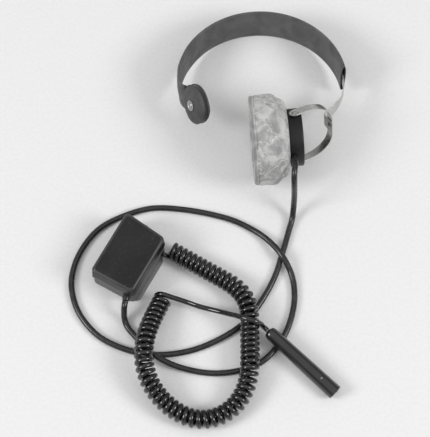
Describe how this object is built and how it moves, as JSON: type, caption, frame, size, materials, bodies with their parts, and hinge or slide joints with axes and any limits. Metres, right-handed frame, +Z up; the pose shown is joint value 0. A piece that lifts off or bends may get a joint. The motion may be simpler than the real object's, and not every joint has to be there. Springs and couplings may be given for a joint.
{
  "type": "single-ear headset with in-line box",
  "caption": "Single-ear headset: a padded receiver on a pivoting yoke and sprung headband, corded to an in-line transformer box, with a curly cord to a cord socket.",
  "frame": {"origin": "on the table top, under the middle of the headset and the box as they lie", "axes": "+Z up from the table; +Y from the box towards the crown of the headband; +X to the right, where the yoke and the cord socket lie"},
  "size_m": [0.2758, 0.4276, 0.0898],
  "materials": {
    "vinyl": "satin vinyl sleeve",
    "spring_steel": "plain strip steel",
    "leather": "grained leather",
    "felt": "pressed felt",
    "nickel": "bright nickel plate",
    "bakelite": "moulded phenolic, semi-gloss",
    "brass": "turned",
    "magnet": "ground iron",
    "winding": "enamelled wire, wound",
    "fibre": "pressed fibre board",
    "chamois": "pale soft leather, wrinkled and mottled",
    "cord_rubber": "smooth, slightly glossy",
    "box_black": "fine-grained moulding",
    "box_grey": "satin moulding",
    "socket_black": "satin black tube"
  },
  "bodies": {
    "receiver": {"receiver_housing": "bakelite", "receiver_cap": "bakelite", "diaphragm": "spring_steel", "diaphragm_ring": "brass", "magnet": "magnet", "pole_pieces": "magnet", "coil_upper": "winding", "coil_lower": "winding", "terminal_block": "fibre", "ear_cushion": "chamois", "cord_grommet": "cord_rubber", "pivot_washer_upper": "spring_steel", "pivot_washer_lower": "spring_steel", "pivot_screw_upper": "nickel", "pivot_screw_lower": "nickel", "earphone_cord": "cord_rubber", "box_cover": "box_black", "box_base": "box_grey", "box_plate": "spring_steel", "plate_screw_1": "spring_steel", "plate_screw_2": "spring_steel", "corner_angle": "box_black", "end_screw": "spring_steel", "transformer_core": "magnet", "transformer_winding": "winding", "ear_cord_gland": "cord_rubber", "curly_cord_gland": "cord_rubber", "curly_cord": "cord_rubber", "cord_tail": "cord_rubber", "socket_barrel": "socket_black", "socket_gland": "cord_rubber", "socket_insert": "fibre", "socket_sleeve": "nickel", "set_screw": "nickel"},
    "yoke": {"yoke": "nickel"},
    "slide": {"slide_strip": "nickel", "swivel_rivet": "nickel"},
    "headband": {"headband_sleeve": "vinyl", "headband_spring": "spring_steel", "slide_keeper": "spring_steel", "temple_disc": "leather", "temple_pad": "leather", "pad_core": "felt", "temple_eyelet": "nickel", "eyelet_washer": "nickel"}
  },
  "joints": [
    {"name": "yoke_pivot", "type": "hinge", "parent": "receiver", "child": "yoke", "pos_m": [0.0746, 0.007, 0.04584], "axis": [-0.0573, 0.4608, 0.8856], "range_deg": [-60, 18]},
    {"name": "strip_swivel", "type": "hinge", "parent": "yoke", "child": "slide", "pos_m": [0.10892, 0.02348, 0.03949], "axis": [0.8892, 0.4269, -0.1645], "range_deg": [-15, 15]},
    {"name": "band_slide", "type": "hinge", "parent": "slide", "child": "headband", "pos_m": [0.0413, 0.0621, 0.03399], "axis": [0, 0.1693, 0.9856], "range_deg": [0, 20]}
  ]
}
